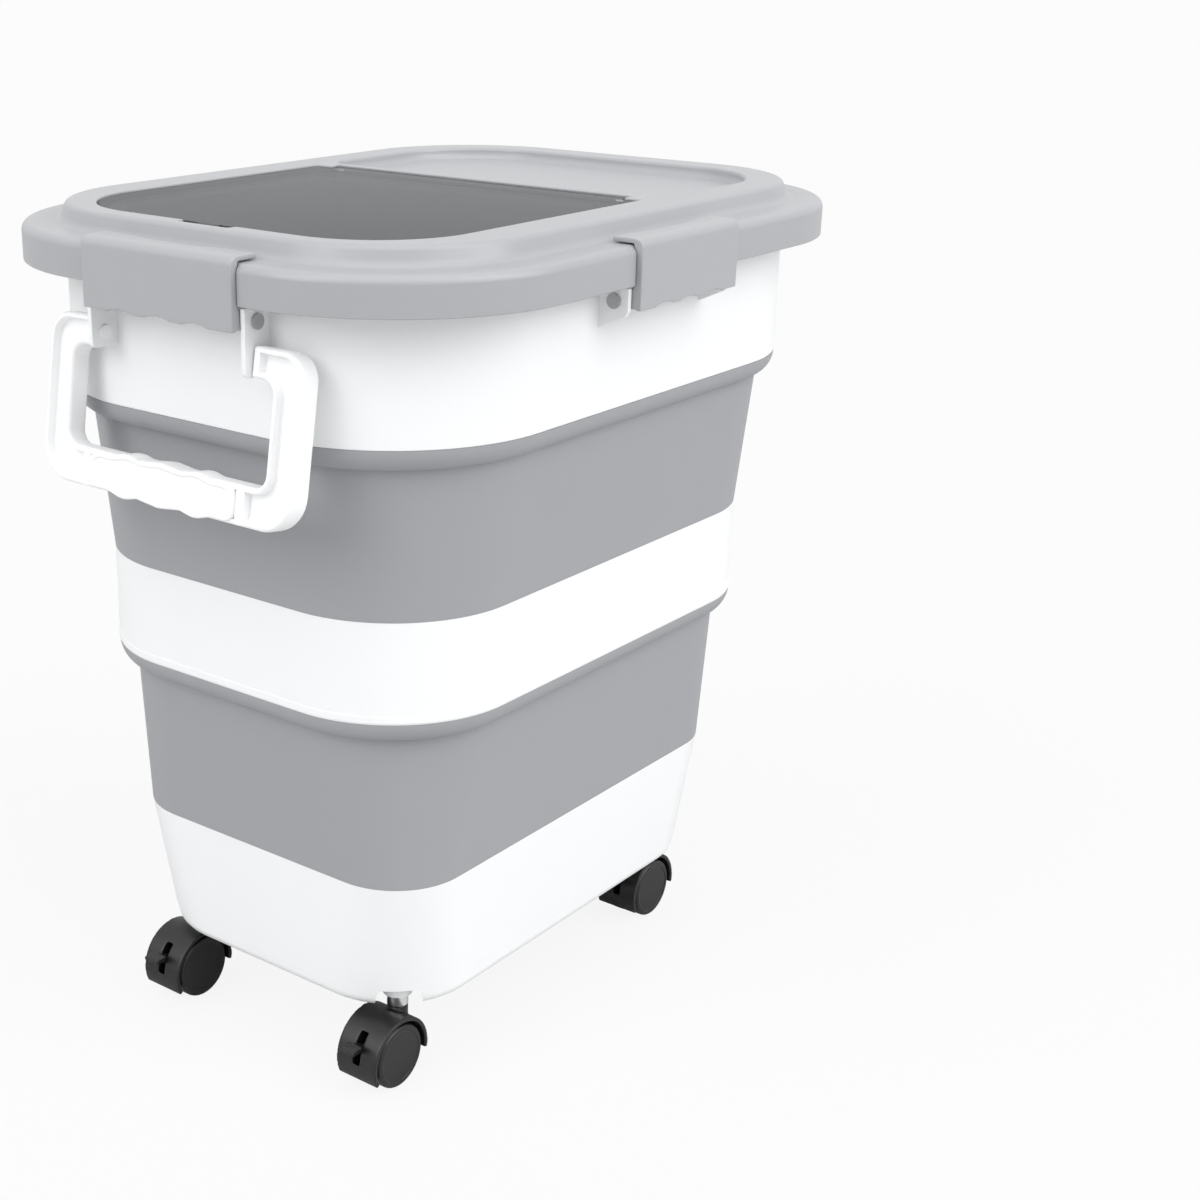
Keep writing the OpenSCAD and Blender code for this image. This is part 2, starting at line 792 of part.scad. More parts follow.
module handle_frame(side) {
    groove = 5;
    color(white)
    hang(side)
    difference() {
        slab(handle_front_y - handle_t, handle_front_y) bail_outline(0);
        slab(handle_front_y - groove, handle_front_y + 1) bail_outline(rim_w);
        difference() {
            across(handle_w + 2)
                translate([-handle_t, 0])
                    square([handle_t, 2 * stub_r]);
            rotate([0, 90, 0])
                cylinder(r = turn_r, h = handle_w + 4, center = true);
        }
        for (s = [-1, 1])
            rotate([0, s * 90, 0])
                cylinder(r = handle_pin_r, h = pin_end);
    }
}

// Grip outline: a long oval whose upper and lower edges wave under the fingers
wave_len = 27;
wave_rise = 1.1;
end_power = 0.35;   // below 1 these square the oval's ends and sides
side_power = 0.5;
function grip_pts(n) = [for (i = [0:n - 1]) let (
        a = i * 360 / n, c = cos(a), s = sin(a),
        x = sign(c) * pow(abs(c), end_power) * grip_w / 2,
        z = sign(s) * pow(abs(s), side_power) * (grip_h / 2 - wave_rise + wave_rise * cos(x * 360 / wave_len))
    ) [x, bar_mid + z]];

module handle_grip(side) {
    color(white)
    hang(side)
    difference() {
        slab(grip_front_y - grip_d, grip_front_y) polygon(grip_pts(96));
        slab(handle_front_y - handle_t, handle_front_y)
            translate([-grip_w, -handle_drop])
                square([2 * grip_w, bar_h]);
    }
}

module handle_pins(side) {
    head_t = 1.2;
    color(white)
    hang(side)
    for (s = [-1, 1])
        rotate([0, s * 90, 0]) {
            translate([0, 0, ear_x(side) - run_gap])
                cylinder(r = handle_pin_r, h = pin_end - ear_x(side) + run_gap);
            translate([0, 0, ear_x(side) - run_gap - head_t])
                cylinder(r = handle_head_r, h = head_t);
        }
}

// ---------- casters ----------

hood_r = wheel_r + hood_gap + hood_t;
hood_w = web_w + 2 * (side_gap + wheel_w) + 1;
neck_top = 2 * wheel_r + 5;
hood_from = -10;
hood_to = 205;
lever_up = 26;      // the brake lever leaves the hood at this angle above the level
brake_x = 12;       // from the wheel axis to the lever's pivot
brake_gap = 0.4;
axle_short = 1.8;
stem_bot = wheel_r + 15;
collar_gap = 0.3;
slot_half = 10;
lever_pin_r = 1.5;
lever_back = 5.5;
lever_w = 4.6;
lever_h = 5;

// The four places: front is -X and right is -Y
function spot(name) = [
    (name == "fr" || name == "fl" ? -1 : 1) * caster_x,
    (name == "fr" || name == "br" ? -1 : 1) * caster_y
];

module at_caster(name) {
    translate([spot(name)[0], spot(name)[1], 0])
        children();
}

// Turns a piece drawn about Z so that it lies about the wheel axis
module on_axle() {
    translate([-trail, 0, wheel_r])
        rotate([90, 0, 0])
            children();
}

// Turns a piece drawn about Z, reaching towards -X, so that it lies about the pivot of the brake lever
module on_lever() {
    on_axle()
        rotate([0, 0, -lever_up])
            translate([-brake_x, 0, 0])
                children();
}

module caster_stem(name) {
    color(steel)
    at_caster(name) {
        translate([0, 0, stem_bot])
            cylinder(r = stem_r, h = boss_top - wall - stem_bot);
        translate([0, 0, neck_top + collar_gap])
            cylinder(r = collar_r, h = boss_z - neck_top - collar_gap);
    }
}

// Hood, web and neck in black plastic
module caster_body(name) {
    bite = 0.3;
    neck_bot = wheel_r + 8;
    color(black)
    at_caster(name)
    difference() {
        union() {
            on_axle()
                rotate([0, 0, hood_from])
                    rotate_extrude(angle = hood_to - hood_from, $fn = 96)
                        translate([hood_r - hood_t, -hood_w / 2])
                            square([hood_t, hood_w]);
            on_axle()
                intersection() {
                    cylinder(r = hood_r - hood_t / 2, h = web_w, center = true, $fn = 96);
                    translate([-2 * wheel_r, -0.6 * wheel_r, -wheel_r])
                        cube([4 * wheel_r, 3 * wheel_r, 2 * wheel_r]);
                }
            // the neck stops at the hood on both sides of the web, to leave the wheels their room
            difference() {
                translate([0, 0, neck_bot])
                    cylinder(r = neck_r, h = neck_top - neck_bot);
                for (s = [-1, 1])
                    on_axle()
                        translate([0, 0, s * (web_w / 2 - bite + wheel_w)])
                            cylinder(r = hood_r - hood_t + bite, h = 2 * wheel_w, center = true, $fn = 96);
            }
        }
        translate([0, 0, stem_bot - 1])
            cylinder(r = stem_r + run_gap, h = neck_top);
        on_axle()
            cylinder(r = axle_r, h = hood_w, center = true);
        // slot and pin bore for the brake lever
        on_lever() {
            translate([-2 * hood_r, -slot_half, -lever_w / 2 - brake_gap])
                cube([2 * hood_r + lever_back, 2 * slot_half, lever_w + 2 * brake_gap]);
            cylinder(r = lever_pin_r + run_gap, h = hood_w, center = true);
        }
    }
}

module caster_axle(name) {
    color(steel)
    at_caster(name)
        on_axle()
            cylinder(r = axle_r, h = web_w + 2 * (side_gap + wheel_w - axle_short), center = true);
}

// One wheel of a pair: side is 1 for the one towards -Y and -1 for the one towards +Y
module wheel(name, side) {
    edge = 1.2;
    cap_t = 1.5;
    in_y = web_w / 2 + side_gap;
    color(black)
    at_caster(name)
    on_axle()
        mirror([0, 0, side < 0 ? 1 : 0])
            rotate_extrude($fn = 96)
                polygon([
                    [axle_r + run_gap, in_y], [wheel_r - edge, in_y], [wheel_r, in_y + edge],
                    [wheel_r, in_y + wheel_w - edge], [wheel_r - edge, in_y + wheel_w],
                    [0, in_y + wheel_w], [0, in_y + wheel_w - cap_t],
                    [axle_r + run_gap, in_y + wheel_w - cap_t]
                ]);
}

module brake_lever(name) {
    pedal_t = 3;
    pedal_l = 8;
    pedal_x = 24.8;     // from the wheel axis to the pedal's inner edge
    pedal_z = 12.2;     // height of the pedal's underside above the wheel axis
    arm_l = 17.5;
    bore_r = lever_h / 2 + 0.6;
    color(black)
    at_caster(name) {
        on_lever() {
            translate([-arm_l, -lever_h / 2, -lever_w / 2])
                cube([arm_l, lever_h, lever_w]);
            cylinder(r = bore_r, h = lever_w, center = true);
            cylinder(r = lever_pin_r, h = web_w, center = true);
        }
        translate([-trail - pedal_x - pedal_l, -pedal_w / 2, wheel_r + pedal_z])
            cube([pedal_l, pedal_w, pedal_t]);
    }
}

base_tub();
lower_bellows();
mid_ring();
upper_bellows();
upper_ring();
lid_frame();
lid_seal();
flip_door();
door_seal();
door_hinge_pins();
door_catch();
latch("front");  // latch_front
latch("back");  // latch_back
latch("right");  // latch_right
latch("left");  // latch_left
latch_pin("front");  // latch_pin_front
latch_pin("back");  // latch_pin_back
latch_pin("right");  // latch_pin_right
latch_pin("left");  // latch_pin_left
handle_frame("front");  // handle_frame_front
handle_frame("back");  // handle_frame_back
handle_grip("front");  // handle_grip_front
handle_grip("back");  // handle_grip_back
handle_pins("front");  // handle_pins_front
handle_pins("back");  // handle_pins_back
caster_stem("fr");  // caster_stem_fr
caster_stem("fl");  // caster_stem_fl
caster_stem("br");  // caster_stem_br
caster_stem("bl");  // caster_stem_bl
caster_body("fr");  // caster_body_fr
caster_body("fl");  // caster_body_fl
caster_body("br");  // caster_body_br
caster_body("bl");  // caster_body_bl
caster_axle("fr");  // caster_axle_fr
caster_axle("fl");  // caster_axle_fl
caster_axle("br");  // caster_axle_br
caster_axle("bl");  // caster_axle_bl
wheel("fr", 1);  // wheel_fr_right
wheel("fr", -1);  // wheel_fr_left
wheel("fl", 1);  // wheel_fl_right
wheel("fl", -1);  // wheel_fl_left
wheel("br", 1);  // wheel_br_right
wheel("br", -1);  // wheel_br_left
wheel("bl", 1);  // wheel_bl_right
wheel("bl", -1);  // wheel_bl_left
brake_lever("fr");  // brake_lever_fr
brake_lever("fl");  // brake_lever_fl
brake_lever("br");  // brake_lever_br
brake_lever("bl");  // brake_lever_bl
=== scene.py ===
import math

import bmesh
import bpy
from mathutils import Matrix, Vector


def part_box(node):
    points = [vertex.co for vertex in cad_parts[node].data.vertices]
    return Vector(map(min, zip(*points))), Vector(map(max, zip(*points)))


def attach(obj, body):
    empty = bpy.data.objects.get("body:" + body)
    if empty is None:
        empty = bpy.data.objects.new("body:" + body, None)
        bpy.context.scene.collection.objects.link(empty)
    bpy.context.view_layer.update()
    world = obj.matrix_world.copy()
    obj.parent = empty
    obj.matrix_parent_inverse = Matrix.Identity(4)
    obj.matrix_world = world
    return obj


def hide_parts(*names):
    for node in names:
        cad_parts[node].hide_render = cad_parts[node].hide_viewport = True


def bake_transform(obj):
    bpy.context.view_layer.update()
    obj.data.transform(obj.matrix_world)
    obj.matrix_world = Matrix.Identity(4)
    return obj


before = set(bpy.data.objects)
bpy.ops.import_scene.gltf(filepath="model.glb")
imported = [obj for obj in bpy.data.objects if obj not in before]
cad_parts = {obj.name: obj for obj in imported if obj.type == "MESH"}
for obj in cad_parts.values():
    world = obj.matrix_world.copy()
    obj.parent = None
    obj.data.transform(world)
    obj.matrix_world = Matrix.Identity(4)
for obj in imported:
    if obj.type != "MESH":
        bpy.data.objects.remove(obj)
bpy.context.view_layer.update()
mm = 0.001
quarter_turn = math.pi / 2

# ---------- Camera ----------
# The eye stands in front of the near left corner, a little above the lid, and looks down.
# Its place and angles were fitted to the outlines of the rings in the photograph.
eye = Vector((-915.2, -729.5, 658.5)) * mm
eye_yaw, eye_pitch, eye_roll = (math.radians(a) for a in (39.086, 19.639, 0.233))
photo_px = 1200
focal_px = 1939.7
centre_x_px = 419.2
centre_y_px = 604.8

camera_data = bpy.data.cameras.new("camera")
camera_data.sensor_width = 36
camera_data.lens = focal_px / photo_px * camera_data.sensor_width
camera_data.shift_x = (photo_px / 2 - centre_x_px) / photo_px
camera_data.shift_y = (centre_y_px - photo_px / 2) / photo_px
camera = bpy.data.objects.new("camera", camera_data)
bpy.context.scene.collection.objects.link(camera)
aim = Matrix.Rotation(eye_yaw - quarter_turn, 4, "Z") @ Matrix.Rotation(quarter_turn - eye_pitch, 4, "X")
camera.matrix_world = Matrix.Translation(eye) @ aim @ Matrix.Rotation(eye_roll, 4, "Z")
bpy.context.scene.camera = camera
bpy.context.scene.view_settings.view_transform = "Standard"

# ---------- Studio ----------
# A white seamless floor and surround, two wide suns from the left and the right that leave the near corner a
# little darker, a soft one from above, and soft boxes that draw the highlights along the rounded edges.
world = bpy.data.worlds.new("studio")
bpy.context.scene.world = world
world.use_nodes = True
world.node_tree.nodes.clear()
w_out = world.node_tree.nodes.new("ShaderNodeOutputWorld")
w_even = world.node_tree.nodes.new("ShaderNodeBackground")
w_even.inputs["Color"].default_value = (0.98, 0.99, 1.0, 1)
w_even.inputs["Strength"].default_value = 0.38
w_seen = world.node_tree.nodes.new("ShaderNodeBackground")
w_seen.inputs["Color"].default_value = (1, 1, 1, 1)
w_seen.inputs["Strength"].default_value = 1.0
w_path = world.node_tree.nodes.new("ShaderNodeLightPath")
w_any = world.node_tree.nodes.new("ShaderNodeMath")
w_any.operation = "MAXIMUM"
w_gloss = world.node_tree.nodes.new("ShaderNodeMath")
w_gloss.operation = "MAXIMUM"
w_mix = world.node_tree.nodes.new("ShaderNodeMixShader")
w_link = world.node_tree.links.new
w_link(w_path.outputs["Is Camera Ray"], w_any.inputs[0])
w_link(w_path.outputs["Is Transmission Ray"], w_any.inputs[1])
w_link(w_any.outputs[0], w_gloss.inputs[0])
w_link(w_path.outputs["Is Glossy Ray"], w_gloss.inputs[1])
w_link(w_gloss.outputs[0], w_mix.inputs[0])
w_link(w_even.outputs[0], w_mix.inputs[1])
w_link(w_seen.outputs[0], w_mix.inputs[2])
w_link(w_mix.outputs[0], w_out.inputs[0])


def sun(name, towards, strength, spread):
    lamp = bpy.data.lights.new(name, "SUN")
    lamp.energy = strength
    lamp.angle = math.radians(spread)
    holder = bpy.data.objects.new(name, lamp)
    holder.rotation_euler = Vector(towards).to_track_quat("-Z", "Y").to_euler()
    bpy.context.scene.collection.objects.link(holder)


def soft_box(name, place, size, watts):
    lamp = bpy.data.lights.new(name, "AREA")
    lamp.shape = "RECTANGLE"
    lamp.size, lamp.size_y = size
    lamp.energy = watts
    holder = bpy.data.objects.new(name, lamp)
    holder.location = place
    holder.rotation_euler = (Vector((0, 0, 0.3)) - Vector(place)).to_track_quat("-Z", "Y").to_euler()
    bpy.context.scene.collection.objects.link(holder)


sun("left", (0.75, -0.25, -0.6), 0.8, 50)
sun("right", (-0.1, 0.8, -0.6), 1.3, 50)
sun("above", (0.15, 0.1, -1), 1.2, 80)
soft_box("left_box", (-2.2, 0.6, 1.6), (0.9, 1.6), 12)
soft_box("right_box", (0.9, -2.2, 1.5), (0.9, 1.6), 12)

floor_data = bpy.data.meshes.new("floor")
bm = bmesh.new()
bmesh.ops.create_grid(bm, x_segments=1, y_segments=1, size=40)
bm.to_mesh(floor_data)
floor = bpy.data.objects.new("floor", floor_data)
bpy.context.scene.collection.objects.link(floor)
floor_finish = bpy.data.materials.new("pale_floor")
floor_finish.use_nodes = True
floor_shader = floor_finish.node_tree.nodes["Principled BSDF"]
floor_shader.inputs["Base Color"].default_value = (0.62, 0.62, 0.62, 1)
floor_shader.inputs["Roughness"].default_value = 0.6
floor_shader.inputs["Specular IOR Level"].default_value = 0.15
f_nodes, f_link = floor_finish.node_tree.nodes, floor_finish.node_tree.links.new
f_path = f_nodes.new("ShaderNodeLightPath")
f_white = f_nodes.new("ShaderNodeEmission")
f_any = f_nodes.new("ShaderNodeMath")
f_any.operation = "MAXIMUM"
f_share = f_nodes.new("ShaderNodeMath")
f_share.operation = "MULTIPLY"
f_share.inputs[1].default_value = 0.88
f_mix = f_nodes.new("ShaderNodeMixShader")
f_link(f_path.outputs["Is Camera Ray"], f_any.inputs[0])
f_link(f_path.outputs["Is Transmission Ray"], f_any.inputs[1])
f_link(f_any.outputs[0], f_share.inputs[0])
f_link(f_share.outputs[0], f_mix.inputs[0])
f_link(floor_shader.outputs[0], f_mix.inputs[1])
f_link(f_white.outputs[0], f_mix.inputs[2])
f_link(f_mix.outputs[0], f_nodes["Material Output"].inputs[0])
floor_data.materials.append(floor_finish)

# ---------- White rings of the tub ----------
# Three stiff rings, injection moulded in white polypropylene with a smooth satin skin: the upper ring with its
# rim, the middle ring with a bead, and the base, whose foot stands round the floor and opens over the casters.
lid_low, lid_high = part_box("lid_frame")
half_l, half_w = lid_high.x, lid_high.y
wall = 3 * mm
weld = 0.002 * mm
ring_in, mid_in, base_in = 20.5 * mm, 39.5 * mm, 60 * mm
ring_r, base_r, base_low_r = 98 * mm, 46 * mm, 56 * mm
base_draft, foot_h = 6 * mm, 8.5 * mm
ring_centre = (half_l - ring_in - ring_r, half_w - ring_in - ring_r)
low_centre = (half_l - base_in - base_draft - base_low_r, half_w - base_in - base_draft - base_low_r)
upper_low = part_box("upper_ring")[0].z
mid_low, mid_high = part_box("mid_ring")[0].z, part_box("mid_ring")[1].z
base_low, base_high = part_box("base_tub")[0].z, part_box("base_tub")[1].z


def solid(name, bm):
    """The bare object of a bmesh, made closed and facing outwards."""
    mesh = bpy.data.meshes.new(name)
    bmesh.ops.remove_doubles(bm, verts=bm.verts, dist=weld)
    bmesh.ops.recalc_face_normals(bm, faces=bm.faces)
    bm.to_mesh(mesh)
    bm.free()
    piece = bpy.data.objects.new(name, mesh)
    bpy.context.scene.collection.objects.link(piece)
    return piece


def bake(piece):
    """Applies the modifiers of a piece to its mesh."""
    graph = bpy.context.evaluated_depsgraph_get()
    made = bpy.data.meshes.new_from_object(piece.evaluated_get(graph), depsgraph=graph)
    piece.modifiers.clear()
    old, piece.data = piece.data, made
    bpy.data.meshes.remove(old)


def carve(piece, tools, how="DIFFERENCE", solver="EXACT"):
    """Cuts bmesh solids out of a piece, or with UNION grows it by them."""
    for bm in tools:
        tool = solid("tool", bm)
        step = piece.modifiers.new("tool", "BOOLEAN")
        step.object = tool
        step.operation = how
        step.solver = solver
        bake(piece)
        bpy.data.objects.remove(tool)


def dress(piece, material, body, replaces=(), sharp=35):
    """Shades a piece smooth but for its sharp edges and gives it its material and body."""
    mesh = piece.data
    mesh.shade_smooth()
    mesh.set_sharp_from_angle(angle=math.radians(sharp))
    mesh.materials.clear()
    mesh.materials.append(material)
    weights = piece.modifiers.new("weights", "WEIGHTED_NORMAL")
    weights.keep_sharp = True
    if body:
        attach(piece, body)
    if replaces:
        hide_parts(*replaces)
    return piece


def rounded(corners, steps=5):
    """The corners (x, y, radius) of an outline as points, with each corner turned into an arc."""
    points = []
    count = len(corners)
    for i, (x, y, radius) in enumerate(corners):
        here = Vector((x, y))
        if radius <= 0:
            points.append(here)
            continue
        before = (Vector(corners[i - 1][:2]) - here).normalized()
        after = (Vector(corners[(i + 1) % count][:2]) - here).normalized()
        half = before.angle(after) / 2
        centre = here + (before + after).normalized() * radius / math.sin(half)
        start = here + before * radius / math.tan(half) - centre
        sweep = start.angle_signed(here + after * radius / math.tan(half) - centre)
        points += [centre + Matrix.Rotation(-sweep * k / steps, 2) @ start for k in range(steps + 1)]
    return points


def mm_corners(*corners):
    """Corners or points written in millimetres, in metres."""
    return [tuple(value * mm for value in corner) for corner in corners]


def lofted(loops):
    """A closed solid through loops of points with equal counts, capped at both ends."""
    bm = bmesh.new()
    rings = [[bm.verts.new(point) for point in loop] for loop in loops]
    for low, high in zip(rings, rings[1:]):
        for i in range(len(low)):
            bm.faces.new((low[i - 1], low[i], high[i], high[i - 1]))
    bm.faces.new(rings[0])
    bm.faces.new(rings[-1])
    bmesh.ops.recalc_face_normals(bm, faces=bm.faces)
    return bm


def carried_round(section, centre, closed=True, corner_steps=24, side_steps=2):
    """A section in (inset, height) carried round the bin about its corner centres; an open one is capped."""
    bm = bmesh.new()
    cx, cy = centre
    loop = [bm.verts.new((half_l - inset, -cy, z)) for inset, z in section]
    pairs = list(zip(loop, loop[1:])) + ([(loop[-1], loop[0])] if closed else [])
    moving = loop + [bm.edges.new(pair) for pair in pairs]
    up = (0, 0, 1)
    for direction, run, sx, sy in (
        ((0, 1, 0), 2 * cy, 1, 1), ((-1, 0, 0), 2 * cx, -1, 1),
        ((0, -1, 0), 2 * cy, -1, -1), ((1, 0, 0), 2 * cx, 1, -1),
    ):
        step = Vector(direction) * run / side_steps
        moving = bmesh.ops.spin(bm, geom=moving, axis=up, dvec=step, angle=0, steps=side_steps)["geom_last"]
        moving = bmesh.ops.spin(
            bm, geom=moving, cent=(sx * cx, sy * cy, 0), axis=up, angle=quarter_turn, steps=corner_steps
        )["geom_last"]
    bmesh.ops.remove_doubles(bm, verts=bm.verts, dist=weld)
    if not closed:
        bmesh.ops.holes_fill(bm, edges=[e for e in bm.edges if e.is_boundary], sides=0)
    bmesh.ops.recalc_face_normals(bm, faces=bm.faces)
    return bm


def slab(points, low, high, place, bevel=0.0):
    """A flat outline thickened between two levels of its own Z, with its edges rounded, then put in place."""
    bm = bmesh.new()
    face = bm.faces.new([bm.verts.new((x, y, low)) for x, y in points])
    made = bmesh.ops.extrude_face_region(bm, geom=[face])["geom"]
    far_verts = [v for v in made if isinstance(v, bmesh.types.BMVert)]
    bmesh.ops.translate(bm, verts=far_verts, vec=(0, 0, high - low))
    bmesh.ops.recalc_face_normals(bm, faces=bm.faces)
    if bevel:
        rims = [e for e in bm.edges if e.calc_face_angle() > math.radians(40)]
        bmesh.ops.bevel(
            bm, geom=rims, offset=bevel, segments=3, profile=0.5, affect="EDGES", clamp_overlap=True, material=-1
        )
    bmesh.ops.transform(bm, matrix=place, verts=bm.verts)
    return bm


def turned(profile, place, steps=64):
    """A profile of (radius, height) points turned about its own Z axis, then put in place."""
    bm = bmesh.new()
    line = [bm.verts.new((r, 0, z)) for r, z in profile]
    geom = line + [bm.edges.new(pair) for pair in zip(line, line[1:])]
    whole_turn = 2 * math.pi
    bmesh.ops.spin(bm, geom=geom, cent=(0, 0, 0), axis=(0, 0, 1), angle=whole_turn, steps=steps, use_merge=True)
    bmesh.ops.remove_doubles(bm, verts=bm.verts, dist=weld)
    bmesh.ops.recalc_face_normals(bm, faces=bm.faces)
    bmesh.ops.transform(bm, matrix=place, verts=bm.verts)
    return bm


def joined(parts):
    """Several bmesh solids as one bmesh."""
    whole = bmesh.new()
    for bm in parts:
        scratch = bpy.data.meshes.new("scratch")
        bm.to_mesh(scratch)
        bm.free()
        whole.from_mesh(scratch)
        bpy.data.meshes.remove(scratch)
    return whole


def moulded(name, colour, rough, grain, mottle=0.02, specular=0.5):
    """Moulded plastic: a slightly uneven colour, a fine surface grain, and gloss that varies a little."""
    material = bpy.data.materials.new(name)
    material.use_nodes = True
    nodes, link = material.node_tree.nodes, material.node_tree.links.new
    shader = nodes["Principled BSDF"]
    place = nodes.new("ShaderNodeTexCoord")
    cloud = nodes.new("ShaderNodeTexNoise")
    cloud.inputs["Scale"].default_value = 9
    cloud.inputs["Detail"].default_value = 5
    tint = nodes.new("ShaderNodeMix")
    tint.data_type = "RGBA"
    tint.inputs[6].default_value = (*[c * (1 - mottle) for c in colour], 1)
    tint.inputs[7].default_value = (*[min(c * (1 + mottle), 1) for c in colour], 1)
    gloss = nodes.new("ShaderNodeMapRange")
    gloss.inputs["To Min"].default_value = rough * 0.85
    gloss.inputs["To Max"].default_value = rough * 1.2
    grit = nodes.new("ShaderNodeTexNoise")
    grit.inputs["Scale"].default_value = 1400
    grit.inputs["Detail"].default_value = 3
    bump = nodes.new("ShaderNodeBump")
    bump.inputs["Strength"].default_value = grain
    bump.inputs["Distance"].default_value = 0.0003
    link(place.outputs["Object"], cloud.inputs["Vector"])
    link(place.outputs["Object"], grit.inputs["Vector"])
    link(cloud.outputs[0], tint.inputs[0])
    link(cloud.outputs[0], gloss.inputs["Value"])
    link(tint.outputs[2], shader.inputs["Base Color"])
    link(gloss.outputs[0], shader.inputs["Roughness"])
    link(grit.outputs[0], bump.inputs["Height"])
    link(bump.outputs[0], shader.inputs["Normal"])
    shader.inputs["Specular IOR Level"].default_value = specular
    return material


white = moulded("white_polypropylene", (0.89, 0.90, 0.905), 0.36, 0.05, 0.01)
rim_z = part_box("upper_ring")[1].z
upper_section = rounded([
    (ring_in, upper_low, 0.8 * mm), (ring_in, rim_z - 3 * mm, 2 * mm), (6.2 * mm, rim_z - 3 * mm, 0.8 * mm),
    (6.2 * mm, rim_z, 0.8 * mm), (ring_in + wall, rim_z, 1 * mm), (ring_in + wall, upper_low, 0.8 * mm),
])
upper_wall = solid("upper_wall", carried_round(upper_section, ring_centre))
dress(upper_wall, white, "rim", ["upper_ring"])

bead = 0.4 * mm
mid_section = rounded([
    (mid_in, mid_low, 0), (mid_in - bead, mid_low + 1 * mm, 0.5 * mm),
    (mid_in - bead, mid_low + 4.5 * mm, 0.3 * mm), (mid_in, mid_low + 4.9 * mm, 0.3 * mm),
    (mid_in, mid_high, 0.3 * mm), (mid_in + wall, mid_high, 0.3 * mm), (mid_in + wall, mid_low, 0.3 * mm),
])
middle_wall = solid("middle_wall", carried_round(mid_section, ring_centre))
dress(middle_wall, white, "middle", ["mid_ring"])

floor_under, floor_top = base_low + 14 * mm, base_low + 17 * mm
foot_in = base_in + 15.5 * mm
base_section = [Vector((foot_in, floor_under))] + rounded([
    (base_in + 9.5 * mm, floor_under, 0), (foot_in, base_low, 1 * mm), (base_in + 6.7 * mm, base_low, foot_h),
    (base_in, base_high, 0.6 * mm), (base_in + wall, base_high, 0.6 * mm),
    (base_in + 8.3 * mm, floor_top, 4 * mm), (base_in + 14 * mm, floor_top, 0),
], 6)[1:]


def base_loop(inset, z, steps=24):
    """One loop round the base: its corners grow wider towards the foot."""
    down = min(max((base_high - z) / (base_high - base_low - foot_h), 0), 1)
    radius = base_in + base_r + down * (base_draft + base_low_r - base_r) - inset
    x, y = half_l - inset, half_w - inset
    corners = [(-x, -y, radius), (x, -y, radius), (x, y, radius), (-x, y, radius)]
    return [(p.x, p.y, z) for p in rounded(corners, steps)]


base_wall = solid("base_wall", lofted([base_loop(*point) for point in base_section]))
casters = {
    name: (stem_low + stem_high) / 2
    for name in ("fr", "fl", "br", "bl")
    for stem_low, stem_high in [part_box("caster_stem_" + name)]
}
upright = Matrix.Rotation(quarter_turn, 4, "X")
notch = rounded(mm_corners((-15, -2, 0), (15, -2, 0), (13, 12.5, 4), (-13, 12.5, 4)), 6)
notches = []
for spot in casters.values():
    out_x = spot.x - math.copysign(low_centre[0], spot.x)
    out_y = spot.y - math.copysign(low_centre[1], spot.y)
    turn_out = Matrix.Rotation(math.atan2(out_y, out_x) + quarter_turn, 4, "Z")
    outwards = Matrix.Translation((spot.x, spot.y, base_low)) @ turn_out @ upright
    notches.append(slab(notch, 2 * mm, 80 * mm, outwards))
carve(base_wall, notches, solver="MANIFOLD")
dress(base_wall, white, "base", ["base_tub"])
boss_low, boss_high, boss_r = base_low + 3.5 * mm, floor_under + 24 * mm, 9 * mm
boss_profile = [
    (0, boss_high), (boss_r - 0.6 * mm, boss_high), (boss_r, boss_high - 0.6 * mm),
    (boss_r, boss_low + 0.3 * mm), (boss_r - 0.3 * mm, boss_low), (0, boss_low),
]
bosses = [turned(boss_profile, Matrix.Translation((spot.x, spot.y, 0))) for spot in casters.values()]
dress(solid("stem_bosses", joined(bosses)), white, "base")

# ---------- Soft bands ----------
# Two thermoplastic rubber sleeves, matt and a little darker than the lid, that curve in under the ring above
# and run down to the ring below.
band_grey = moulded("grey_rubber", (0.345, 0.35, 0.365), 0.62, 0.03, 0.015, 0.35)
band_t, shoulder_in, shoulder_h = 2 * mm, 10.5 * mm, 12.5 * mm


def band_section(top_in, top, foot, foot_z, rows=26):
    """The section of a soft band from under one ring down to the next, in (inset, height)."""
    def face(t):
        arc = [math.radians(a) for a in range(0, 91, 10)]
        curve = [
            (top_in + t + shoulder_in * (1 - math.cos(a)), top - (shoulder_h - t) * math.sin(a)) for a in arc
        ]
        high = curve[-1]
        return curve + [
            (high[0] + (foot + t - high[0]) * k / rows, high[1] + (foot_z - high[1]) * k / rows)
            for k in range(1, rows + 1)
        ]
    return face(0) + face(band_t)[::-1]


upper_band = solid("upper_band", carried_round(band_section(ring_in, upper_low, mid_in, mid_high), ring_centre))
dress(upper_band, band_grey, None, ["upper_bellows"])
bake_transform(upper_band)

lower_bm = carried_round(band_section(mid_in, mid_low, base_in, base_high), ring_centre)
tighter = half_l - base_in - ring_centre[0] - base_r
cx, cy = ring_centre
straight_from = mid_low - shoulder_h
for v in lower_bm.verts:
    share = min(max((straight_from - v.co.z) / (straight_from - base_high), 0), 1)
    reach = Vector((max(abs(v.co.x) - cx, 0), max(abs(v.co.y) - cy, 0))).normalized()
    slack_x = 1 - reach.x if abs(v.co.x) > cx else abs(v.co.x) / cx
    slack_y = 1 - reach.y if abs(v.co.y) > cy else abs(v.co.y) / cy
    v.co.x += math.copysign(share * tighter * slack_x, v.co.x)
    v.co.y += math.copysign(share * tighter * slack_y, v.co.y)
lower_band = solid("lower_band", lower_bm)
dress(lower_band, band_grey, None, ["lower_bellows"])
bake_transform(lower_band)

